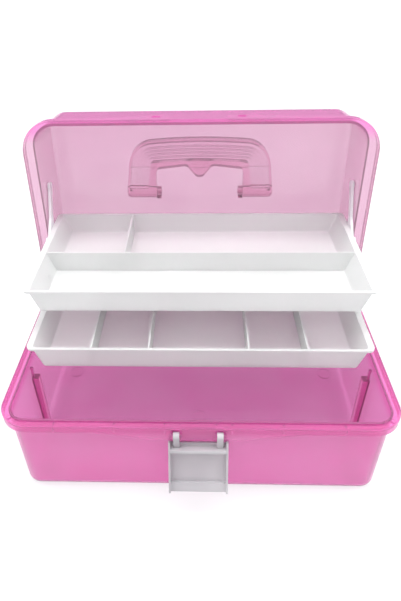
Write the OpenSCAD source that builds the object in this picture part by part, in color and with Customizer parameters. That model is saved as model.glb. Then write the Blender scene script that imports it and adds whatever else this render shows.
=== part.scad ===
// Folding make-up case: a clear tinted base and lid on two hinges, two white trays that
// rise on swinging arms as the lid opens, a folding carry handle and a front latch.
// Origin: centre of the base's footprint, on the surface that it stands on.
// X runs to the right, Y to the back, Z up. The case is drawn open, as it stands in use.

/* [Case] */
// Width over the rims
box_w = 330; // [322:1:350]
// Depth over the rims, front to back
box_d = 177; // [174:1:190]
// Height of the base from its feet to the rim
base_h = 89; // [80:1:100]
// Height of the lid from its rim to its flat top
lid_h = 60; // [50:1:70]
// Wall thickness of base and lid
wall = 2; // [1.6:0.1:2.4]
// Corner radius of the base rim in plan
rim_corner_r = 26; // [24:1:28]
// Corner radius of the lid rim in plan
lid_rim_corner_r = 31; // [26:1:34]
// How far the lid swings back from closed
lid_open = 94; // [88:1:98]

/* [Rims] */
// Overhang of the base rim beyond the base wall
base_rim = 6.5; // [6:0.1:8]
// Overhang of the lid rim beyond its side walls
lid_rim_side = 10; // [9:0.5:10.5]
// Overhang of the lid rim beyond its front and back walls
lid_rim_end = 3; // [2.6:0.1:4]
// Thickness of the flat rim face
rim_t = 2.2; // [1.8:0.1:3]
// Depth of the skirt that stiffens each rim
skirt_h = 6.8; // [5:0.2:8]
// Depth of the base skirt beside the latch
skirt_deep_h = 14.5; // [12:0.5:16]
// Thickness of the skirts
skirt_t = 1.6; // [1.4:0.1:2]

/* [Trays] */
// Gap between the tray rims and the arms at both sides
tray_play = 0.3; // [0.3:0.1:1]
// Depth of the upper tray, front to back
upper_d = 141; // [130:1:143]
// Distance of the lower tray's rear rim in front of the hinge line
lower_behind = 4.2; // [3.5:0.1:10]
// Height of both trays
tray_h = 22; // [18:1:22]
// Thickness of tray walls, floors and dividers
tray_wall = 1.6; // [1.2:0.1:1.8]
// Overhang of the tray rims beyond the side walls
tray_rim = 3.5; // [3:0.1:3.5]
// Overhang of the tray rims beyond the front and back walls
tray_rim_end = 1; // [0.8:0.1:2]
// How much narrower each tray side is at the floor
tray_side_slope = 7; // [5:0.5:8]
// Upper tray: distance from the front rim to its long divider
upper_divider = 64; // [50:1:80]
// Upper tray: distance from the middle to its short divider
upper_short_divider = 70; // [40:1:100]
// Lower tray: distance of the inner dividers from the middle
lower_inner_divider = 43; // [30:1:55]
// Lower tray: distance of the outer dividers from the middle
lower_outer_divider = 93; // [75:1:110]

/* [Arms] */
// Length of the arms from their base pivot to the upper tray
upper_reach = 66; // [64:0.5:68]
// Spacing of the two trays' pins along the arms
tray_step = 20; // [19.6:0.1:21]
// Thickness of the arms
arm_t = 2.4; // [2:0.1:2.5]
// Width of the arms round a pivot
arm_w = 9; // [8:0.2:9.4]
// Radius of the pivot pins
pin_r = 2.4; // [2:0.1:2.5]
// Gap all round a pin in its bore
pin_gap = 0.06; // [0.04:0.01:0.1]

/* [Handle] */
// Width of the handle over its feet
handle_w = 157; // [140:1:170]
// Reach of the handle from its pivot to the outside of the grip
handle_reach = 56; // [50:1:60]
// Width of the opening between the handle's legs
handle_gap_w = 93; // [84:1:100]
// Thickness of the handle
handle_t = 12; // [10:0.5:14]
// How far the middle of the grip stands out beyond its ends
handle_crown = 2; // [1:0.5:3]
// Reach of the opening from the pivot line towards the grip
handle_gap_reach = 30; // [26:1:32]
// Distance from the hinge line to the handle's pivot
handle_from_hinge = 89.5; // [84:0.5:100]

/* [Latch] */
// Width of the latch
latch_w = 48.4; // [44:0.2:54]
// Length of the latch from its pivot to its tip
latch_l = 52; // [46:1:56]
// Plate thickness of the latch
latch_t = 2; // [1.6:0.1:2.4]
// Angle at which the open latch stands away from the front wall
latch_rest = 22; // [15:1:30]

/* [Hinges] */
// Distance of the hinge line behind the rims
hinge_back = 6; // [5.8:0.1:7]
// Distance of each hinge from the middle
hinge_x = 96; // [80:1:110]
// Radius of the hinge knuckles
knuckle_r = 4.6; // [4.2:0.1:5]
// Length of each hinge over its knuckles
hinge_l = 34; // [28:1:40]
// Radius of the hinge pins
hinge_pin_r = 1.5; // [1.2:0.1:1.8]

/* [Hidden] */
tint = "#F07BBF";
milk = "#F2EFF4";
steel = "#B8BCC2";
left = -1;
right = 1;
eps = 0.01;

// Facet counts: pins and bores, plan corners, rounded floor edges
round_fn = 48;
corner_fn = 40;
edge_steps = 4;

// Shell forms
foot_h = 1.2;
foot_r = 7;
foot_inset = 20.5;
draft = 1.6;
floor_edge_r = 5;
lid_draft = 2;
lid_gap = 0.3;
lid_edge_r = 5;
rim_corner_step = 3;
base_body_r = rim_corner_r - base_rim - rim_corner_step;
rim_lip_t = 1.5;
rim_channel_depth = 1;
rim_boss_inset = 10;
rim_boss_r = 1.8;
lid_body_r = rim_corner_r - 4;

// Hinge line, about which lid and rear arms turn
hinge_y = box_d / 2 + hinge_back;
hinge_z = base_h;
knuckle_gap = 0.4;

// Inner faces of the side walls at the rim
base_inner_x = box_w / 2 - base_rim - wall;
lid_inner_x = box_w / 2 - lid_rim_side - wall;

// Lid peg that carries the rear arm: along the rim from the hinge, and into the lid
lid_peg_reach = 113;
lid_peg_depth = 20;

// The arms run in the gap between tray rim and lid wall, at the depth of the lid peg, in a
// plane that is rounded to a tenth of a millimetre
arm_gap = 0.4;
arm_lane_step = 0.1;
arm_end_r = arm_w / 2;
lid_slope = lid_draft / (lid_h - lid_edge_r);
arm_lane_x = lid_inner_x - lid_slope * (lid_peg_depth + arm_w) - arm_gap;
arm_out_x = floor(arm_lane_x / arm_lane_step) * arm_lane_step;
arm_in_x = arm_out_x - arm_t;
tray_w = 2 * (arm_in_x - tray_play);
arm_neck_r = 3;
arm_bow = 15;
kink_past = 17;
lower_reach = upper_reach - tray_step;

// Arms: direction from the base pivot when the case is closed and when it is open
arm_closed_tilt = -7.5;
arm_open_tilt = arm_closed_tilt + lid_open;
function along(reach, tilt) = [-reach * cos(tilt), reach * sin(tilt)];
hinge_yz = [hinge_y, hinge_z];
front_pivot_reach = (upper_reach + lower_reach) / 2;
front_pivot_yz = hinge_yz + along(front_pivot_reach, arm_closed_tilt);
upper_arm_yz = along(upper_reach, arm_open_tilt);
lower_arm_yz = along(lower_reach, arm_open_tilt);
upper_rear_yz = hinge_yz + upper_arm_yz;
lower_rear_yz = hinge_yz + lower_arm_yz;
upper_front_yz = front_pivot_yz + upper_arm_yz;
lower_front_yz = front_pivot_yz + lower_arm_yz;

function opened(reach, depth) = hinge_yz + [
    -cos(lid_open) * reach + sin(lid_open) * depth,
    sin(lid_open) * reach + cos(lid_open) * depth
];
lid_peg_yz = opened(lid_peg_reach, lid_peg_depth);
lid_peg_closed_yz = hinge_yz + [-lid_peg_reach, lid_peg_depth];
lid_peg_wall_x = lid_inner_x - lid_slope * lid_peg_depth;
base_peg_wall_x = base_inner_x - draft * (hinge_z - front_pivot_yz[1]) / (base_h - foot_h);

// A point beside an open arm: reach from the arm's pivot, offset square to it towards the lid
function beside(pivot, reach, offset) = pivot + along(reach, arm_open_tilt)
    + offset * [sin(arm_open_tilt), cos(arm_open_tilt)];
rear_bow_yz = beside(hinge_yz, front_pivot_reach, arm_bow);
rear_kink_yz = beside(hinge_yz, upper_reach + kink_past, lid_peg_depth - 1);
front_bow_yz = beside(front_pivot_yz, upper_reach - front_pivot_reach, -arm_bow);

// Trays where they lie in the closed case, and the lift that opening gives them
tray_nest_gap = 0.9;
upper_closed_top = base_h + 1.4;
lower_closed_top = upper_closed_top - tray_h - tray_nest_gap;
tray_front_gap = 9;
lower_tray_ahead = 2.5;
base_inner_front = -box_d / 2 + base_rim + wall;
upper_lift = along(upper_reach, arm_open_tilt) - along(upper_reach, arm_closed_tilt);
lower_lift = along(lower_reach, arm_open_tilt) - along(lower_reach, arm_closed_tilt);
upper_front_y = base_inner_front + tray_front_gap + upper_lift[0];
lower_front_y = base_inner_front + tray_front_gap - lower_tray_ahead + lower_lift[0];
lower_d = hinge_y - lower_behind - lower_front_y;
upper_top = upper_closed_top + upper_lift[1];
lower_top = lower_closed_top + lower_lift[1];
upper_corner_r = 3.5;
lower_corner_r = 5;
tray_end_draft = 0.8;
tray_edge_r = 2;
tray_rim_t = 1.8;
tray_boss_r = 3.6;
ear_t = 2.6;
ear_r = 4.6;
pin_head_r = 4;
peg_boss_r = 4.6;
pin_head_t = 1.6;
tray_slope = tray_side_slope / (tray_h - tray_edge_r);
function seat_l(yz) = tray_rim + tray_slope * (upper_top - yz[1]) + tray_wall / 2;

// Posts on the base's side walls, under the front arms of the closed case
rest_from_pivot = 52;
rest_y = front_pivot_yz[0] - rest_from_pivot;
rest_w = 7;
rest_rib_t = 1.6;
rest_rib_drop = 8;
rest_in_x = tray_w / 2 + 1;
rest_top = front_pivot_yz[1] + along(rest_from_pivot + rest_w / 2, arm_closed_tilt)[1]
    - arm_end_r - arm_gap;

// Handle and its lugs
handle_pivot_h = 7.5;
handle_heel_r = 6.8;
lug_t = 4.6;
lug_r = 5.5;
handle_pivot_y = hinge_y - handle_from_hinge;
handle_corner_r = 26;
handle_foot_r = 8;
handle_flare = 4;
arc_steps = 12;
handle_bend = [handle_w / 2 - handle_corner_r - handle_flare, -handle_reach + handle_corner_r];
handle_foot = [handle_w / 2 - handle_foot_r, handle_heel_r - handle_foot_r];
handle_side = handle_foot - handle_bend;
handle_lean = atan2(handle_side[1], handle_side[0])
    - acos((handle_corner_r - handle_foot_r) / norm(handle_side));
thumb_r = 7;
thumb_h = 12;
thumb_blend_r = 6;
thumb_flank = 50;
gap_corner_rise = 3;
leg_fillet = 5;
handle_leg_shift = 4;
handle_leg_step = 2;
handle_skin = 2.4;
rib_start = 8;
rib_count = 4;
rib_pitch = 3.6;
rib_t = 1.2;
rib_h = 3;

// Latch and its seat
latch_pivot_out = 0.8;
latch_pivot_drop = 8;
latch_pivot_yz = [-box_d / 2 - latch_pivot_out, base_h - latch_pivot_drop];
latch_flange_t = 1.6;
latch_block_t = 1.6;
latch_play = 0.4;
latch_ear_w = 5;
latch_ear_r = 3.4;
latch_bar_r = 1.6;
latch_stand = 5.8;
latch_skirt_gap = 0.6;
latch_flange_start = (skirt_deep_h - latch_pivot_drop + latch_skirt_gap) * cos(latch_rest)
    - latch_pivot_out * sin(latch_rest);
catch_h = 3.2;
latch_hook_reach = latch_pivot_drop + lid_gap + catch_h + 0.3;
latch_hook_t = 2.2;
latch_hook_over = 1.7;
latch_lip = 8;
latch_lip_t = 3;
notch_w = latch_ear_w + 1;
latch_ear_x = latch_w / 2 - latch_flange_t - latch_play - latch_block_t - notch_w / 2;
latch_zone = latch_w / 2 + 2.3;
catch_rise = 8;
catch_w = 18;
catch_run = 44;
catch_window_x = 9;
catch_window_w = 7.5;
skirt_flare = 6;
skirt_run = 50;
gussets = [14.5, 27, 68, 117];

// ---------- shared forms ----------

// A rectangle with true round corners
module plate_outline(w, d, r) {
    square([w - 2 * r, d], center = true);
    square([w, d - 2 * r], center = true);
    for (sx = [-1, 1], sy = [-1, 1])
        translate([sx * (w / 2 - r), sy * (d / 2 - r)]) circle(r = r, $fn = round_fn);
}

// A solid tub: mouth at z = h, floor at z = 0, walls drawn in by the drafts, floor edge rounded
module tub(w, d, h, r, draft_x, draft_y, edge_r) {
    floor_r = max(r - min(draft_x, draft_y), edge_r + 0.5);
    hull() {
        for (sx = [-1, 1], sy = [-1, 1]) {
            translate([sx * (w / 2 - r), sy * (d / 2 - r), h - eps])
                cylinder(r = r, h = eps, $fn = corner_fn);
            for (i = [0 : edge_steps]) {
                a = 90 * i / edge_steps;
                translate([sx * (w / 2 - draft_x - floor_r), sy * (d / 2 - draft_y - floor_r),
                    edge_r * (1 - sin(a))])
                    cylinder(r = floor_r - edge_r * (1 - cos(a)), h = eps, $fn = corner_fn);
            }
        }
    }
}

// A round bar along X, centred on x
module bar_x(x, l, r, yz) {
    translate([x, yz[0], yz[1]]) rotate([0, 90, 0])
        cylinder(r = r, h = l, center = true, $fn = round_fn);
}

// Everything on the lid is drawn closed and then swung open
module swung_open() {
    translate([0, hinge_y, hinge_z]) rotate([-lid_open, 0, 0])
        translate([0, -hinge_y, -hinge_z]) children();
}

// ---------- base ----------

module base_shell() {
    body_w = box_w - 2 * base_rim;
    body_d = box_d - 2 * base_rim;
    difference() {
        union() {
            translate([0, 0, foot_h])
                tub(body_w, body_d, base_h - foot_h, base_body_r, draft, draft, floor_edge_r);
            translate([0, 0, base_h - rim_t]) linear_extrude(rim_t)
                plate_outline(box_w, box_d, rim_corner_r);
            translate([0, 0, base_h - skirt_h]) linear_extrude(skirt_h) difference() {
                plate_outline(box_w, box_d, rim_corner_r);
                plate_outline(box_w - 2 * skirt_t, box_d - 2 * skirt_t, rim_corner_r - skirt_t);
            }
            deep_skirt();
            base_gussets();
        }
        translate([0, 0, foot_h + wall])
            tub(body_w - 2 * wall, body_d - 2 * wall, base_h - foot_h - wall + 1,
                base_body_r - wall, draft, draft, floor_edge_r - wall);
        rim_channel(body_w, body_d);
        latch_notches();
    }
}

// Channel between the wall's top and the rim's lip, in which the lid's rim sits
module rim_channel(body_w, body_d) {
    translate([0, 0, base_h - rim_channel_depth]) linear_extrude(rim_channel_depth + 1)
        difference() {
            plate_outline(box_w - 2 * rim_lip_t, box_d - 2 * rim_lip_t, rim_corner_r - rim_lip_t);
            plate_outline(body_w, body_d, base_body_r);
            for (sx = [-1, 1], sy = [-1, 1])
                translate([sx * (box_w / 2 - rim_boss_inset), sy * (box_d / 2 - rim_boss_inset)])
                    circle(r = rim_boss_r, $fn = round_fn);
        }
}

// The front skirt deepens towards the latch
module deep_skirt() {
    full = latch_zone + skirt_flare;
    end = full + skirt_run;
    translate([0, -box_d / 2 + skirt_t, base_h]) rotate([90, 0, 0]) linear_extrude(skirt_t)
        polygon([
            [-end, -skirt_h + 1], [-end, -skirt_h], [-full, -skirt_deep_h],
            [full, -skirt_deep_h], [end, -skirt_h], [end, -skirt_h + 1]
        ]);
}

// Small webs between skirt and wall
module base_gussets() {
    web_t = 1.2;
    for (side = [left, right], x = gussets)
        translate([side * x - web_t / 2, -box_d / 2 + skirt_t / 2, base_h - skirt_h])
            cube([web_t, base_rim, skirt_h - rim_t / 2]);
}

// Windows in rim and skirt in which the latch's ears turn
module latch_notches() {
    reach_in = latch_ear_r + latch_pivot_out;
    for (side = [left, right])
        translate([side * latch_ear_x - notch_w / 2, -box_d / 2 - 1,
            base_h - skirt_deep_h - 1])
            cube([notch_w, reach_in + 1, skirt_deep_h + 1 - rim_t]);
}

// Blocks beside each notch that hold the bars on which the latch turns
module latch_bars() {
    for (side = [left, right]) {
        bar_x(side * latch_ear_x, notch_w + 2 * eps, latch_bar_r, latch_pivot_yz);
        for (inner = [left, right]) {
            x = side * latch_ear_x + inner * (notch_w + latch_block_t) / 2;
            bar_x(x, latch_block_t, latch_bar_r + 1, latch_pivot_yz);
            translate([x - latch_block_t / 2, latch_pivot_yz[0],
                latch_pivot_yz[1] - latch_bar_r - 1])
                cube([latch_block_t, latch_pivot_out + skirt_t, 2 * latch_bar_r + 2]);
        }
    }
}

// A post on each side wall that stops the front arm, with a guide rib above it
module arm_rests() {
    rib_in_x = arm_out_x + pin_head_t + 2 * arm_gap;
    intersection() {
        union() for (side = [left, right]) {
            on_side(side) translate([rest_in_x, rest_y - rest_w / 2, foot_h + wall / 2])
                cube([base_rim + rest_w, rest_w, rest_top - foot_h - wall / 2]);
            on_side(side) translate([rib_in_x, rest_y - rest_rib_t / 2, rest_top - 1])
                cube([base_rim, rest_rib_t, base_h - rest_top - rest_rib_drop + 1]);
        }
        translate([0, 0, foot_h + wall / 2])
            tub(box_w - 2 * base_rim - wall, box_d - 2 * base_rim - wall,
                base_h - foot_h - wall / 2, base_body_r - wall / 2, draft, draft, floor_edge_r);
    }
}

// Boss inside a side wall, for the peg on which an arm turns
module peg_boss(side, wall_x, yz) {
    boss_l = wall_x + wall / 2 - arm_out_x - arm_gap;
    bar_x(side * (wall_x + wall / 2 - boss_l / 2), boss_l, peg_boss_r, yz);
}

// The peg, from the middle of the wall to extra beyond the arm's inner face
module peg(side, wall_x, yz, extra) {
    peg_l = wall_x + wall / 2 - arm_in_x + extra;
    bar_x(side * (wall_x + wall / 2 - peg_l / 2), peg_l, pin_r, yz);
}

module front_arm_peg(side) {
    color(milk) peg(side, base_peg_wall_x, front_pivot_yz, 0);
}

// Four corner feet and a pad under the middle that keeps the wide floor from sagging
module feet() {
    cylinder(r = foot_r, h = foot_h + wall / 2, $fn = round_fn);
    for (sx = [-1, 1], sy = [-1, 1])
        translate([sx * (box_w / 2 - base_rim - foot_inset),
            sy * (box_d / 2 - base_rim - foot_inset), 0])
            cylinder(r = foot_r, h = foot_h + wall / 2, $fn = round_fn);
}

// Knuckles run from x = a to x = b on both hinges; strap reaches to the rim
module knuckles(a, b, strap_z0, strap_z1, strap_y0) {
    for (side = [left, right]) {
        x = side * hinge_x + (a + b) / 2;
        difference() {
            union() {
                bar_x(x, b - a, knuckle_r, hinge_yz);
                translate([x - (b - a) / 2, strap_y0, strap_z0])
                    cube([b - a, hinge_y - strap_y0, strap_z1 - strap_z0]);
            }
            bar_x(x, b - a + 2, hinge_pin_r + pin_gap, hinge_yz);
        }
    }
}

module base_box() {
    third = hinge_l / 3;
    color(tint) difference() {
        union() {
            base_shell();
            latch_bars();
            arm_rests();
            for (side = [left, right]) peg_boss(side, base_peg_wall_x, front_pivot_yz);
            feet();
            knuckles(-hinge_l / 2, -third / 2 - knuckle_gap,
                hinge_z - knuckle_r, hinge_z - knuckle_r + 3, box_d / 2 - skirt_t);
            knuckles(third / 2 + knuckle_gap, hinge_l / 2,
                hinge_z - knuckle_r, hinge_z - knuckle_r + 3, box_d / 2 - skirt_t);
        }
        for (side = [left, right]) peg(side, base_peg_wall_x, front_pivot_yz, 1);
    }
}

// ---------- lid ----------

module lid_shell() {
    body_w = box_w - 2 * lid_rim_side;
    body_d = box_d - 2 * lid_rim_end;
    top = base_h + lid_h;
    low = base_h + lid_gap;
    difference() {
        union() {
            translate([0, 0, top]) mirror([0, 0, 1])
                tub(body_w, body_d, lid_h - lid_gap, lid_body_r, lid_draft, lid_draft,
                    lid_edge_r);
            translate([0, 0, low]) linear_extrude(rim_t)
                plate_outline(box_w, box_d, lid_rim_corner_r);
            translate([0, 0, low]) linear_extrude(skirt_h) difference() {
                plate_outline(box_w, box_d, lid_rim_corner_r);
                plate_outline(box_w - 2 * skirt_t, box_d - 2 * skirt_t,
                    lid_rim_corner_r - skirt_t);
                translate([-latch_zone, -box_d / 2 - 1]) square([2 * latch_zone, skirt_t + 1]);
            }
            translate([-latch_zone - skirt_t, -box_d / 2, low])
                cube([2 * (latch_zone + skirt_t), skirt_t, catch_h]);
            lid_catch(low);
        }
        translate([0, 0, top - wall]) mirror([0, 0, 1])
            tub(body_w - 2 * wall, body_d - 2 * wall, lid_h - wall + 1,
                lid_body_r - wall, lid_draft, lid_draft, lid_edge_r - wall);
    }
}

// Raised skirt on both sides of the low place where the latch hooks on
module lid_catch(low) {
    end = latch_zone + catch_w;
    top = skirt_h + catch_rise;
    for (side = [left, right])
        on_side(side) translate([0, -box_d / 2 + skirt_t, low]) rotate([90, 0, 0])
            linear_extrude(skirt_t) difference() {
                polygon([
                    [latch_zone, skirt_h - 1], [latch_zone, top], [end, top],
                    [end + catch_run, skirt_h], [end + catch_run, skirt_h - 1]
                ]);
                translate([latch_zone + catch_window_x, top - 1 - catch_window_w])
                    square(catch_window_w);
            }
}

// Bosses inside the lid's side walls for the pegs that carry the rear arms
module lid_peg_bosses() {
    for (side = [left, right]) peg_boss(side, lid_peg_wall_x, lid_peg_closed_yz);
}

module rear_arm_peg(side) {
    color(milk) peg(side, lid_peg_wall_x, lid_peg_yz, 0);
}

// Lugs on the lid's top in which the handle's pins turn
module handle_lugs() {
    top = base_h + lid_h;
    pivot = [handle_pivot_y, top + handle_pivot_h];
    for (side = [left, right]) {
        x = side * (handle_gap_w / 2 - 0.3 - lug_t / 2);
        difference() {
            union() {
                bar_x(x, lug_t, lug_r, pivot);
                translate([x - lug_t / 2, handle_pivot_y - lug_r, top - wall / 2])
                    cube([lug_t, 2 * lug_r, handle_pivot_h + wall / 2]);
            }
            bar_x(x, lug_t + 2, pin_r + pin_gap, pivot);
        }
    }
}

module lid() {
    third = hinge_l / 3;
    color(tint) swung_open() difference() {
        union() {
            lid_shell();
            lid_peg_bosses();
            handle_lugs();
            knuckles(-third / 2, third / 2,
                hinge_z + knuckle_r - 3, hinge_z + knuckle_r, box_d / 2 - skirt_t);
        }
        for (side = [left, right]) peg(side, lid_peg_wall_x, lid_peg_closed_yz, 1);
    }
}

module hinge_pin(side) {
    color(steel)
        bar_x(side * hinge_x, hinge_l + 1, hinge_pin_r, hinge_yz);
}

// ---------- trays ----------

// An open tray with its rim at the top, seen from its own front left: front rim at y = 0
module tray_shell(d, r) {
    body_w = tray_w - 2 * tray_rim;
    body_d = d - 2 * tray_rim_end;
    translate([0, d / 2, -tray_h]) difference() {
        union() {
            tub(body_w, body_d, tray_h, r, tray_side_slope, tray_end_draft, tray_edge_r);
            translate([0, 0, tray_h - tray_rim_t]) linear_extrude(tray_rim_t)
                plate_outline(tray_w, d, r + tray_rim_end);
        }
        translate([0, 0, tray_wall])
            tub(body_w - 2 * tray_wall, body_d - 2 * tray_wall, tray_h - tray_wall + 1,
                r - tray_wall, tray_side_slope, tray_end_draft, tray_edge_r - tray_wall / 2);
    }
}

// A wall inside a tray, cut to the tray's inside
module divider(d, r, x, y, lx, ly) {
    body_w = tray_w - 2 * tray_rim;
    body_d = d - 2 * tray_rim_end;
    intersection() {
        translate([x - lx / 2, y - ly / 2, -tray_h + tray_wall / 2])
            cube([lx, ly, tray_h - tray_wall / 2 - 0.6]);
        translate([0, d / 2, -tray_h])
            tub(body_w - tray_wall, body_d - tray_wall, tray_h + 1, r - tray_wall / 2,
                tray_side_slope, tray_end_draft, tray_edge_r);
    }
}

// Boss on a tray's side in which a pivot pin is pressed
module pin_boss(side, yz) {
    boss_l = seat_l(yz);
    bar_x(side * (tray_w / 2 - boss_l / 2), boss_l, tray_boss_r, yz);
}

module pin_bore(side, yz) {
    boss_l = seat_l(yz);
    bar_x(side * (tray_w / 2 - boss_l / 2 + 1), boss_l + 2, pin_r, yz);
}

module upper_tray() {
    long_y = upper_divider;
    rear_l = upper_d - long_y - tray_rim_end;
    pins = [upper_front_yz, upper_rear_yz];
    color(milk) difference() {
        union() {
            translate([0, upper_front_y, upper_top]) {
                tray_shell(upper_d, upper_corner_r);
                divider(upper_d, upper_corner_r, 0, long_y, tray_w, tray_wall);
                divider(upper_d, upper_corner_r, -upper_short_divider, long_y + rear_l / 2,
                    tray_wall, rear_l);
            }
            for (side = [left, right], yz = pins) pin_boss(side, yz);
        }
        for (side = [left, right], yz = pins) pin_bore(side, yz);
    }
}

// Upright ear on the lower tray's rim that carries a pivot pin
module tray_ear(side, yz) {
    difference() {
        union() {
            bar_x(side * (tray_w / 2 - ear_t / 2), ear_t, ear_r, yz);
            translate([side * (tray_w / 2 - ear_t / 2) - ear_t / 2, yz[0] - ear_r,
                lower_top - tray_rim_t])
                cube([ear_t, 2 * ear_r, yz[1] - lower_top + tray_rim_t]);
        }
        bar_x(side * (tray_w / 2 - ear_t / 2), ear_t + 2, pin_r, yz);
    }
}

module lower_tray() {
    run = lower_d - 2 * tray_rim_end;
    color(milk) {
        translate([0, lower_front_y, lower_top]) {
            tray_shell(lower_d, lower_corner_r);
            for (side = [left, right], x = [lower_inner_divider, lower_outer_divider])
                divider(lower_d, lower_corner_r, side * x, lower_d / 2, tray_wall, run);
        }
        for (side = [left, right]) {
            tray_ear(side, lower_front_yz);
            tray_ear(side, lower_rear_yz);
        }
    }
}

// ---------- arms ----------

// A flat bar with round ends from one point to the next, in the plane of the side wall
module arm_link(a, b, r) {
    dy = b[0] - a[0];
    dz = b[1] - a[1];
    translate([arm_in_x, a[0], a[1]]) rotate([atan2(dz, dy), 0, 0])
        translate([0, 0, -r]) cube([arm_t, norm([dy, dz]), 2 * r]);
    for (p = [a, b]) bar_x(arm_in_x + arm_t / 2, arm_t, r, p);
}

module on_side(side) {
    if (side == right) children();
    else mirror([1, 0, 0]) children();
}

module arm_eyes(pivots) {
    for (p = pivots) bar_x(arm_in_x + arm_t / 2, arm_t, arm_end_r, p);
}

module arm_bores(pivots) {
    for (p = pivots) bar_x(arm_in_x + arm_t / 2, arm_t + 2, pin_r + pin_gap, p);
}

// Bowed to pass round the rear arm's eye when both lie down in the closed case
module front_arm(side) {
    pivots = [front_pivot_yz, lower_front_yz, upper_front_yz];
    color(milk) on_side(side) difference() {
        union() {
            arm_eyes(pivots);
            arm_link(front_pivot_yz, front_bow_yz, arm_neck_r);
            arm_link(front_bow_yz, lower_front_yz, arm_neck_r);
            arm_link(lower_front_yz, upper_front_yz, arm_neck_r + 0.4);
        }
        arm_bores(pivots);
    }
}

// Spine from the lid peg down to both tray pins, bowed to pass round the front arm's eye
module rear_arm(side) {
    pivots = [lower_rear_yz, upper_rear_yz, lid_peg_yz];
    color(milk) on_side(side) difference() {
        union() {
            arm_eyes(pivots);
            arm_link(lower_rear_yz, rear_bow_yz, arm_neck_r);
            arm_link(rear_bow_yz, upper_rear_yz, arm_neck_r);
            arm_link(rear_bow_yz, rear_kink_yz, arm_neck_r);
            arm_link(upper_rear_yz, rear_kink_yz, arm_neck_r);
            arm_link(rear_kink_yz, lid_peg_yz, arm_neck_r + 0.4);
        }
        arm_bores(pivots);
    }
}

// A headed pin pressed into a tray, on which an arm turns
module pivot_pin(side, yz, seat_l) {
    head_x = arm_out_x + arm_gap / 2;
    shank_l = head_x + pin_head_t - tray_w / 2 + seat_l;
    color(milk) {
        bar_x(side * (tray_w / 2 - seat_l + shank_l / 2), shank_l, pin_r, yz);
        bar_x(side * (head_x + pin_head_t / 2), pin_head_t, pin_head_r, yz);
    }
}

// ---------- handle ----------

// Points on an arc round c from angle a to angle b
function arc(c, r, a, b) = [
    for (i = [0 : arc_steps])
        c + r * [cos(a + (b - a) * i / arc_steps), sin(a + (b - a) * i / arc_steps)]
];

// Right half of the handle's outline, drawn in by inset; only the full outline has round feet
function handle_half(inset) = concat(
    [for (i = [0 : arc_steps - 1])
        [handle_bend[0] * i / arc_steps, -handle_reach + inset
            - handle_crown * (1 - pow(i / arc_steps, 2))]],
    arc(handle_bend, handle_corner_r - inset, -90, handle_lean),
    inset == 0
        ? arc(handle_foot, handle_foot_r, handle_lean, 90)
        : [handle_foot + (handle_foot_r - inset) * [cos(handle_lean), sin(handle_lean)]]
);

// Outline of the handle in plan; y = 0 is the pivot line, the grip lies at -y
module handle_outline(inset) {
    half = handle_half(inset);
    polygon(concat(half, [for (i = [len(half) - 1 : -1 : 1]) [-half[i][0], half[i][1]]]));
}

// Finger opening between the legs, with a round lobe reaching into the middle of the grip:
// an arc at the tip, straight flanks, and an arc that blends each into the grip
module handle_opening() {
    half = handle_gap_w / 2;
    corner_y = -handle_gap_reach + gap_corner_rise;
    tip = [0, -handle_gap_reach + thumb_h - thumb_r];
    tip_end = tip + thumb_r * [sin(thumb_flank), cos(thumb_flank)];
    blend_start = thumb_blend_r * [-sin(thumb_flank), -cos(thumb_flank)];
    blend_y = -handle_gap_reach + thumb_blend_r;
    fall = tip_end[1] - blend_y - blend_start[1];
    blend_x = tip_end[0] + fall / tan(thumb_flank) - blend_start[0];
    right_half = concat(
        arc(tip, thumb_r, 90, 90 - thumb_flank),
        arc([blend_x, blend_y], thumb_blend_r, 270 - thumb_flank, 270),
        arc([half - leg_fillet, corner_y + leg_fillet], leg_fillet, -90, 0),
        [[half, handle_heel_r + 1]]
    );
    polygon(concat(
        right_half,
        [for (i = [len(right_half) - 1 : -1 : 1]) [-right_half[i][0], right_half[i][1]]]
    ));
}

module handle() {
    top = base_h + lid_h;
    pivot = [handle_pivot_y, top + handle_pivot_h];
    low = handle_pivot_h - handle_heel_r + 0.3;
    color(tint) swung_open() {
        intersection() {
            translate([0, handle_pivot_y, top + low]) difference() {
                linear_extrude(handle_t) difference() {
                    handle_outline(0);
                    handle_opening();
                }
                handle_core();
            }
            handle_profile(pivot, low);
        }
        for (side = [left, right]) {
            pin_l = lug_t + 1;
            bar_x(side * (handle_gap_w / 2 - pin_l / 2 + 1), pin_l + 2, pin_r, pivot);
        }
    }
}

// Side view of the handle: full bar with a round heel about the pivot
module handle_profile(pivot, low) {
    step_y = handle_gap_reach - handle_leg_shift;
    grip_l = handle_reach + handle_crown + 1 - step_y;
    bar_x(0, handle_w + 2, handle_heel_r, pivot);
    translate([-handle_w / 2 - 1, handle_pivot_y - step_y - grip_l, base_h + lid_h + low])
        cube([handle_w + 2, grip_l, handle_t]);
    translate([-handle_w / 2 - 1, handle_pivot_y - step_y - 1, base_h + lid_h + low])
        cube([handle_w + 2, step_y + 1, handle_t - handle_leg_step]);
}

// Core open to the side that faces the lid, with low ribs on its floor that follow the bow
module handle_core() {
    core_end = rib_start + rib_count * rib_pitch;
    bow_channel(handle_skin, core_end, handle_t - handle_skin - rib_h);
    bow_channel(handle_skin, rib_start, handle_t - handle_skin);
    for (i = [1 : rib_count])
        bow_channel(rib_start + (i - 1) * rib_pitch + rib_t, rib_start + i * rib_pitch,
            handle_t - handle_skin);
}

// A channel that follows the handle's outline, between two insets from it
module bow_channel(near, far, depth) {
    translate([0, 0, -eps]) linear_extrude(depth + eps) intersection() {
        difference() {
            handle_outline(near);
            handle_outline(far);
        }
        translate([-handle_w / 2, -handle_reach - handle_crown])
            square([handle_w, handle_reach + handle_crown - handle_skin]);
    }
}

// ---------- latch ----------

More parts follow.
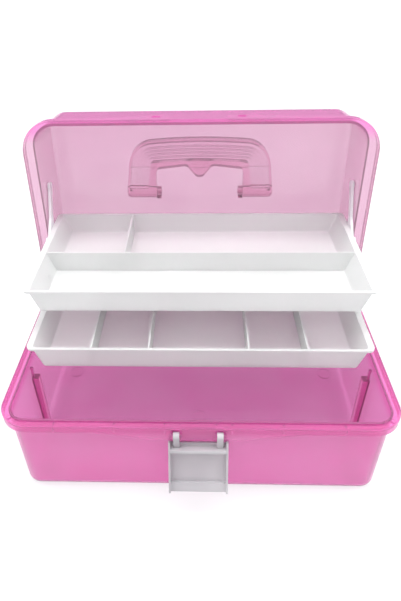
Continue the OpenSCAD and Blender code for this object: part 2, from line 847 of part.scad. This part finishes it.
// Drawn closed, pivot at the origin and plate upright; then turned down to its open rest
module latch() {
    plate_y = -latch_stand - latch_t;
    flange_x = latch_w / 2 - latch_flange_t;
    color("#DADCDC") translate([0, latch_pivot_yz[0], latch_pivot_yz[1]])
        rotate([180 - latch_rest, 0, 0]) difference() {
            union() {
                latch_plate(plate_y);
                for (side = [left, right]) {
                    translate([side > 0 ? flange_x : -latch_w / 2, plate_y, latch_flange_start])
                        cube([latch_flange_t, latch_stand + latch_t, latch_l - latch_flange_start]);
                    latch_ear(side, plate_y);
                }
                latch_hook(plate_y);
                latch_tip(plate_y);
            }
            for (side = [left, right])
                bar_x(side * latch_ear_x, latch_ear_w + 2, latch_bar_r + pin_gap, [0, 0]);
        }
}

// Plate with a window left open above the hook
module latch_plate(plate_y) {
    low = latch_hook_reach - latch_stand / 2;
    translate([-latch_w / 2, plate_y, low])
        cube([latch_w, latch_t, latch_l - low]);
}

// Ear with the bore for the base's bar, joined to the plate by a rib
module latch_ear(side, plate_y) {
    x = side * latch_ear_x;
    bar_x(x, latch_ear_w, latch_ear_r, [0, 0]);
    translate([x - latch_ear_w / 2, 0, 0]) rotate([90, 0, -90]) mirror([0, 0, 1])
        linear_extrude(latch_ear_w) polygon([
            [-latch_ear_r, 0], [latch_ear_r, 0], [-plate_y, latch_hook_reach - latch_stand],
            [-plate_y, latch_hook_reach + latch_hook_t],
            [latch_ear_r, latch_hook_reach + latch_hook_t], [-latch_ear_r / 3, latch_ear_r]
        ]);
}

// Ledge that hooks over the lid's rim
module latch_hook(plate_y) {
    hook_w = latch_w - 2 * latch_flange_t;
    reach = latch_stand + latch_t + latch_pivot_out + latch_hook_over;
    translate([-hook_w / 2 - eps, plate_y, latch_hook_reach])
        cube([hook_w + 2 * eps, reach, latch_hook_t]);
}

// Thick finger lip at the free end
module latch_tip(plate_y) {
    translate([-latch_w / 2, plate_y, latch_l - latch_lip])
        cube([latch_w, latch_t + latch_lip_t, latch_lip]);
}

// ---------- nodes ----------

base_box();
lid();
upper_tray();
lower_tray();
front_arm(left);  // front_arm_left
front_arm(right);  // front_arm_right
rear_arm(left);  // rear_arm_left
rear_arm(right);  // rear_arm_right
pivot_pin(left, upper_front_yz, seat_l(upper_front_yz));  // upper_front_pin_left
pivot_pin(right, upper_front_yz, seat_l(upper_front_yz));  // upper_front_pin_right
pivot_pin(left, upper_rear_yz, seat_l(upper_rear_yz));  // upper_rear_pin_left
pivot_pin(right, upper_rear_yz, seat_l(upper_rear_yz));  // upper_rear_pin_right
pivot_pin(left, lower_front_yz, ear_t);  // lower_front_pin_left
pivot_pin(right, lower_front_yz, ear_t);  // lower_front_pin_right
pivot_pin(left, lower_rear_yz, ear_t);  // lower_rear_pin_left
pivot_pin(right, lower_rear_yz, ear_t);  // lower_rear_pin_right
front_arm_peg(left);  // front_arm_peg_left
front_arm_peg(right);  // front_arm_peg_right
rear_arm_peg(left);  // rear_arm_peg_left
rear_arm_peg(right);  // rear_arm_peg_right
handle();
latch();
hinge_pin(left);  // hinge_pin_left
hinge_pin(right);  // hinge_pin_right
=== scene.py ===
import bpy
import math
from mathutils import Matrix, Vector

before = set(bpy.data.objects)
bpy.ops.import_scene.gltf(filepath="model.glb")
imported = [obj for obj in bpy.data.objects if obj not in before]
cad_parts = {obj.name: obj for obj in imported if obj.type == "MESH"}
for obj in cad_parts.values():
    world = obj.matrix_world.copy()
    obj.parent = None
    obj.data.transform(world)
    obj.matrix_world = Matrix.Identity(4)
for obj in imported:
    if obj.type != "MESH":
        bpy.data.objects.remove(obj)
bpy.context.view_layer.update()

MM_PER_M = 1000
# Polypropylene's usual index; the clear resin keeps it too, a little under styrene's 1.59
PLASTIC_IOR = 1.49
# Depth in metres of the fine relief that a mould leaves
MOULD_RELIEF = 0.00001
# Where in a noise pattern a finish's first tone ends and its second begins
TONE_STOPS = (0.35, 0.65)


def hex_rgb(code):
    """sRGB hex to the linear colour that the nodes take."""
    linear = []
    for start in (0, 2, 4):
        channel = int(code[start:start + 2], 16) / 255
        linear.append(channel / 12.92 if channel <= 0.04045 else ((channel + 0.055) / 1.055) ** 2.4)
    return (*linear, 1.0)


def add(tree, kind, settings=(), links=(), stops=()):
    """Adds a node. Settings go to its properties or, by name or number, to its sockets; links
    join its sockets to other nodes' outputs; stops are a ramp's (place, hex colour) pairs."""
    node = tree.nodes.new(kind)
    for key, value in dict(settings).items():
        if hasattr(node, str(key)):
            setattr(node, key, value)
        else:
            node.inputs[key].default_value = value
    for key, output in dict(links).items():
        tree.links.new(output, node.inputs[key])
    for number, (place, code) in enumerate(stops):
        node.color_ramp.elements[number].position = place
        node.color_ramp.elements[number].color = hex_rgb(code)
    return node


def material(name):
    finish = bpy.data.materials.new(name)
    finish.use_nodes = True
    finish.node_tree.nodes.clear()
    return finish, finish.node_tree


def clear_resin(name, tones, dye, density, clear, rough, painted_band=(), painted_tint=None,
                flow_mm=70, peel_mm=1.5, peel_strength=0.2):
    """Clear moulded resin: light that crosses a wall takes the tint of both faces and of the dye
    between them, so edges and doubled walls look deeper; the share that isn't clear is milky and
    keeps them bright. Between two given heights, in metres with the case open, the tones give way
    to a second tint: painted light and depth of tint at the wall's top, not a change in the resin.
    Real peel is finer than a pixel, so it is drawn coarser."""
    finish, tree = material(name)
    coords = add(tree, "ShaderNodeTexCoord").outputs["Object"]
    flow = add(tree, "ShaderNodeTexNoise", {"Scale": MM_PER_M / flow_mm, "Detail": 2.0},
               {"Vector": coords}).outputs["Fac"]
    peel = add(tree, "ShaderNodeTexNoise", {"Scale": MM_PER_M / peel_mm, "Detail": 3.0},
               {"Vector": coords}).outputs["Fac"]
    colour = add(tree, "ShaderNodeValToRGB", links={"Fac": flow},
                 stops=zip(TONE_STOPS, tones)).outputs["Color"]
    # Painted band: towards a wall's top the tones give way to a second tint, painted light and
    # depth of tint, not a change in the resin
    if painted_tint:
        plain_below, deep_above = painted_band
        height = add(tree, "ShaderNodeSeparateXYZ", links={"Vector": coords}).outputs["Z"]
        share = add(tree, "ShaderNodeMapRange", {"From Min": plain_below, "From Max": deep_above},
                    {"Value": height}).outputs["Result"]
        colour = add(tree, "ShaderNodeMixRGB", {"Color2": hex_rgb(painted_tint)},
                     {"Fac": share, "Color1": colour}).outputs["Color"]
    glossiest, dullest = rough * 0.7, rough * 1.4
    blur = add(tree, "ShaderNodeMapRange", {"To Min": glossiest, "To Max": dullest},
               {"Value": flow}).outputs["Result"]
    bump = add(tree, "ShaderNodeBump", {"Strength": peel_strength, "Distance": MOULD_RELIEF},
               {"Height": peel}).outputs["Normal"]
    face = add(tree, "ShaderNodeBsdfPrincipled",
               {"IOR": PLASTIC_IOR, "Transmission Weight": clear},
               {"Base Color": colour, "Roughness": blur, "Normal": bump}).outputs["BSDF"]
    dyed = add(tree, "ShaderNodeVolumeAbsorption",
               {"Color": hex_rgb(dye), "Density": density}).outputs["Volume"]
    add(tree, "ShaderNodeOutputMaterial", links={"Surface": face, "Volume": dyed})
    return finish


def milky_moulding(name, tones, clear, rough, flow_mm=60, grain_mm=1.2, grain_strength=0.25,
                   specular=0.35):
    """Polypropylene: waxy sheen, slow clouds where the melt flowed, the mould's fine grain, and
    a share of light that passes through. Real grain is finer than a pixel: drawn coarser."""
    finish, tree = material(name)
    coords = add(tree, "ShaderNodeTexCoord").outputs["Object"]
    flow = add(tree, "ShaderNodeTexNoise", {"Scale": MM_PER_M / flow_mm, "Detail": 2.0},
               {"Vector": coords}).outputs["Fac"]
    grain = add(tree, "ShaderNodeTexNoise", {"Scale": MM_PER_M / grain_mm, "Detail": 4.0},
                {"Vector": coords}).outputs["Fac"]
    colour = add(tree, "ShaderNodeValToRGB", links={"Fac": flow},
                 stops=zip(TONE_STOPS, tones)).outputs["Color"]
    glossiest, dullest = rough * 0.85, rough * 1.2
    blur = add(tree, "ShaderNodeMapRange", {"To Min": glossiest, "To Max": dullest},
               {"Value": flow}).outputs["Result"]
    bump = add(tree, "ShaderNodeBump", {"Strength": grain_strength, "Distance": MOULD_RELIEF},
               {"Height": grain}).outputs["Normal"]
    face = add(tree, "ShaderNodeBsdfPrincipled",
               {"IOR": PLASTIC_IOR, "Transmission Weight": clear, "Specular IOR Level": specular},
               {"Base Color": colour, "Roughness": blur, "Normal": bump}).outputs["BSDF"]
    add(tree, "ShaderNodeOutputMaterial", links={"Surface": face})
    return finish


def drawn_wire(name, tones=("9A9DA2", "C8CBD0"), streak_mm=(50 / 3, 1 / 4, 1 / 4)):
    """Drawn steel wire: streaks along the pin, three to 50 mm, and four to a millimetre across
    it. The pins lie inside the knuckles, so the streaks aren't drawn coarser to show."""
    finish, tree = material(name)
    coords = add(tree, "ShaderNodeTexCoord").outputs["Object"]
    stretched = add(tree, "ShaderNodeMapping", {"Scale": [MM_PER_M / size for size in streak_mm]},
                    {"Vector": coords}).outputs["Vector"]
    streak = add(tree, "ShaderNodeTexNoise", {"Scale": 1.0, "Detail": 2.0},
                 {"Vector": stretched}).outputs["Fac"]
    colour = add(tree, "ShaderNodeValToRGB", links={"Fac": streak},
                 stops=zip(TONE_STOPS, tones)).outputs["Color"]
    glossiest, dullest = 0.25, 0.45
    blur = add(tree, "ShaderNodeMapRange", {"To Min": glossiest, "To Max": dullest},
               {"Value": streak}).outputs["Result"]
    face = add(tree, "ShaderNodeBsdfPrincipled", {"Metallic": 1.0},
               {"Base Color": colour, "Roughness": blur}).outputs["BSDF"]
    add(tree, "ShaderNodeOutputMaterial", links={"Surface": face})
    return finish


# ---------- finishes ----------

# Clear pink styrene of the base: glassy gloss with soft blur from the mould, and a deeper pink
# painted at the rim, standing in for light that runs through more of the wall there
pink = clear_resin("pink_clear_styrene", ("FAA4DE", "FAAEE2"), dye="E0409C", density=45,
                   clear=0.78, rough=0.12, painted_band=(0.078, 0.084), painted_tint="F488CF")
# The lid's resin: a greyer copy of the base's, its greyness painted shade for the dimmer light
# behind the lid; paler in panel and sides than in its upper wall and the rim there, whose brighter,
# deeper pink is painted light falling from above
pink_lid_painted_light_and_shade = clear_resin("pink_clear_styrene_lid_painted_light_and_shade", ("EDC6DD", "F1CEE2"), dye="E0409C", density=45,
                       clear=0.74, rough=0.12, painted_band=(0.250, 0.262), painted_tint="FFA8E6")
# The handle's resin: seen through the lid, which tints it once more, so its own tint is faint
pink_handle = clear_resin("pink_clear_styrene_handle", ("FFF4FA", "FFFBFD"), dye="EE50B4",
                          density=45, clear=0.97, rough=0.08)
# Milky white polypropylene of the trays: soft sheen, and about half of the light passes into
# the walls, so that they stay light. Both whites carry a faint painted green cast, which cancels
# the pink light that the lid throws on them; the lower tray's copy is a touch clearer and whiter,
# painted light for the upper tray's shade
milk_painted_green = milky_moulding("milky_polypropylene", ("F4F6F5", "F9FBFA"), clear=0.50, rough=0.48)
milk_low_painted_light = milky_moulding("milky_polypropylene_lower_painted_light", ("F6F8F7", "FAFCFB"),
                          clear=0.52, rough=0.48)
# Arms, pins and pegs: a slightly greyer white, nearly opaque, plain sheen
arm_white = milky_moulding("white_polypropylene_arm", ("E8E6EA", "F2F0F4"), clear=0.04, rough=0.38)
# Latch: natural unpigmented polypropylene, frosted grey-white
frost = milky_moulding("natural_polypropylene_latch", ("C9C7CB", "DCDADD"), clear=0.35, rough=0.40)
# Hinge pins: bright streaked metal in the knuckles
steel = drawn_wire("drawn_steel_pin")

finish_of = {"base_box": pink, "lid": pink_lid_painted_light_and_shade, "handle": pink_handle, "latch": frost,
             "upper_tray": milk_painted_green, "lower_tray": milk_low_painted_light,
             "hinge_pin_left": steel, "hinge_pin_right": steel}
for piece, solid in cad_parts.items():
    solid.data.materials.clear()
    solid.data.materials.append(finish_of.get(piece, arm_white))

# ---------- camera: fitted to the photograph's rims, trays and lid ----------

CAMERA_AT = (0.00318, -0.36212, 0.42195)
YAW, PITCH, ROLL = -0.0451, 0.6130, -0.0248
LENS_MM, SENSOR_MM = 47.16, 36
SHIFT_X, SHIFT_Y = 0.0436, -0.0419
NEAREST, FARTHEST = 0.01, 20

forward = Vector((math.sin(YAW) * math.cos(PITCH),
                  math.cos(YAW) * math.cos(PITCH),
                  -math.sin(PITCH)))
right = forward.cross(Vector((0, 0, 1))).normalized()
up = right.cross(forward)
rolled_right = math.cos(ROLL) * right + math.sin(ROLL) * up
rolled_up = -math.sin(ROLL) * right + math.cos(ROLL) * up
turn = Matrix((rolled_right, rolled_up, -forward)).transposed().to_4x4()

lens = bpy.data.cameras.new("camera")
lens.sensor_fit = "HORIZONTAL"
lens.sensor_width = SENSOR_MM
lens.lens = LENS_MM
lens.shift_x = SHIFT_X
lens.shift_y = SHIFT_Y
lens.clip_start = NEAREST
lens.clip_end = FARTHEST
camera = bpy.data.objects.new("camera", lens)
camera.matrix_world = Matrix.Translation(CAMERA_AT) @ turn
bpy.context.scene.collection.objects.link(camera)
bpy.context.scene.camera = camera

# ---------- floor ----------

FLOOR_SIZE = 12
# The floor lies this far under the feet, so that no faces lie in one plane
FLOOR_DROP = 0.0005
# The sweep's faint clouds, three to the metre
CLOUD_MM = 1000 / 3
# Half sizes of the painted shade under the case, and where its soft edge starts and ends beside
# them
PAINTED_SHADE_HALVES = {"X": 0.155, "Y": 0.079}
PAINTED_SHADE_EDGE_START, PAINTED_SHADE_EDGE_END = -0.012, 0.004
# How strongly the floor glows inside that painted shade and outside it
GLOW_IN_PAINTED_SHADE, GLOW_OPEN = 1.5, 1.85

bpy.ops.object.select_all(action="DESELECT")
bpy.ops.mesh.primitive_plane_add(size=FLOOR_SIZE, location=(0, 0, -FLOOR_DROP))
floor = bpy.context.object
floor.name = "floor"


def white_sweep_with_painted_shade():
    """White sweep lit from below, as on a light table: pure white round the case, with no hard
    shadow, and a painted shade under it, where it glows a little less in place of the case's
    shadow, so that the base keeps its depth of colour."""
    finish, tree = material("white_sweep_with_painted_shade")
    coords = add(tree, "ShaderNodeTexCoord").outputs["Object"]
    clouds = add(tree, "ShaderNodeTexNoise", {"Scale": MM_PER_M / CLOUD_MM, "Detail": 3.0},
                 {"Vector": coords}).outputs["Fac"]
    tone = add(tree, "ShaderNodeValToRGB", links={"Fac": clouds},
               stops=zip(TONE_STOPS, ("A0A0A1", "A4A4A5"))).outputs["Color"]
    place = add(tree, "ShaderNodeSeparateXYZ", links={"Vector": coords})
    past_sides = []
    for axis, half in PAINTED_SHADE_HALVES.items():
        from_middle = add(tree, "ShaderNodeMath", {"operation": "ABSOLUTE"},
                          {0: place.outputs[axis]}).outputs[0]
        past_sides.append(add(tree, "ShaderNodeMath", {"operation": "SUBTRACT", 1: half},
                              {0: from_middle}).outputs[0])
    past_painted_shade = add(tree, "ShaderNodeMath", {"operation": "MAXIMUM"},
                     enumerate(past_sides)).outputs[0]
    open_share = add(tree, "ShaderNodeMapRange",
                     {"From Min": PAINTED_SHADE_EDGE_START, "From Max": PAINTED_SHADE_EDGE_END},
                     {"Value": past_painted_shade}).outputs["Result"]
    # Painted shade: the glow dims over the case's footprint, standing in for the case's shadow
    strength = add(tree, "ShaderNodeMapRange", {"To Min": GLOW_IN_PAINTED_SHADE, "To Max": GLOW_OPEN},
                   {"Value": open_share}).outputs["Result"]
    matt = add(tree, "ShaderNodeBsdfDiffuse", links={"Color": tone}).outputs["BSDF"]
    glow = add(tree, "ShaderNodeEmission",
               links={"Color": tone, "Strength": strength}).outputs["Emission"]
    both = add(tree, "ShaderNodeAddShader", links={0: matt, 1: glow}).outputs["Shader"]
    add(tree, "ShaderNodeOutputMaterial", links={"Surface": both})
    return finish


floor.data.materials.append(white_sweep_with_painted_shade())

# ---------- room and lamps ----------

# Grey at the horizon and white overhead, so that the walls reflect a gradient
SKY_HEIGHTS = (0.05, 0.75)
SKY_TONES = ("7C7C80", "FFFFFF")
SKY_STRENGTH = 1.35

world = bpy.data.worlds.new("studio")
world.use_nodes = True
sky = world.node_tree
sky_coords = add(sky, "ShaderNodeTexCoord").outputs["Generated"]
sky_height = add(sky, "ShaderNodeSeparateXYZ", links={"Vector": sky_coords}).outputs["Z"]
sky_tone = add(sky, "ShaderNodeValToRGB", links={"Fac": sky_height},
               stops=zip(SKY_HEIGHTS, SKY_TONES)).outputs["Color"]
sky.links.new(sky_tone, sky.nodes["Background"].inputs["Color"])
sky.nodes["Background"].inputs["Strength"].default_value = SKY_STRENGTH
bpy.context.scene.world = world


def softbox(name, at, to, size, watts):
    light = bpy.data.lights.new(name, "AREA")
    light.shape = "RECTANGLE"
    light.size, light.size_y = size
    light.energy = watts
    lamp = bpy.data.objects.new(name, light)
    lamp.location = at
    lamp.rotation_euler = (Vector(to) - Vector(at)).to_track_quat("-Z", "Y").to_euler()
    bpy.context.scene.collection.objects.link(lamp)


# Narrow and straight above the trays, so that it fills them and leaves their front faces grey
softbox("softbox_top", at=(0.05, -0.04, 1.3), to=(0.05, -0.04, 0.1), size=(1.5, 0.35), watts=10)
softbox("softbox_left", at=(-1.1, -0.1, 0.8), to=(0, 0, 0.1), size=(0.8, 0.8), watts=3)
softbox("softbox_right", at=(1.1, 0.0, 0.8), to=(0, 0, 0.1), size=(0.8, 0.8), watts=3)

# The plain view, in which the sweep burns out to white as in the photograph
bpy.context.scene.view_settings.view_transform = "Standard"
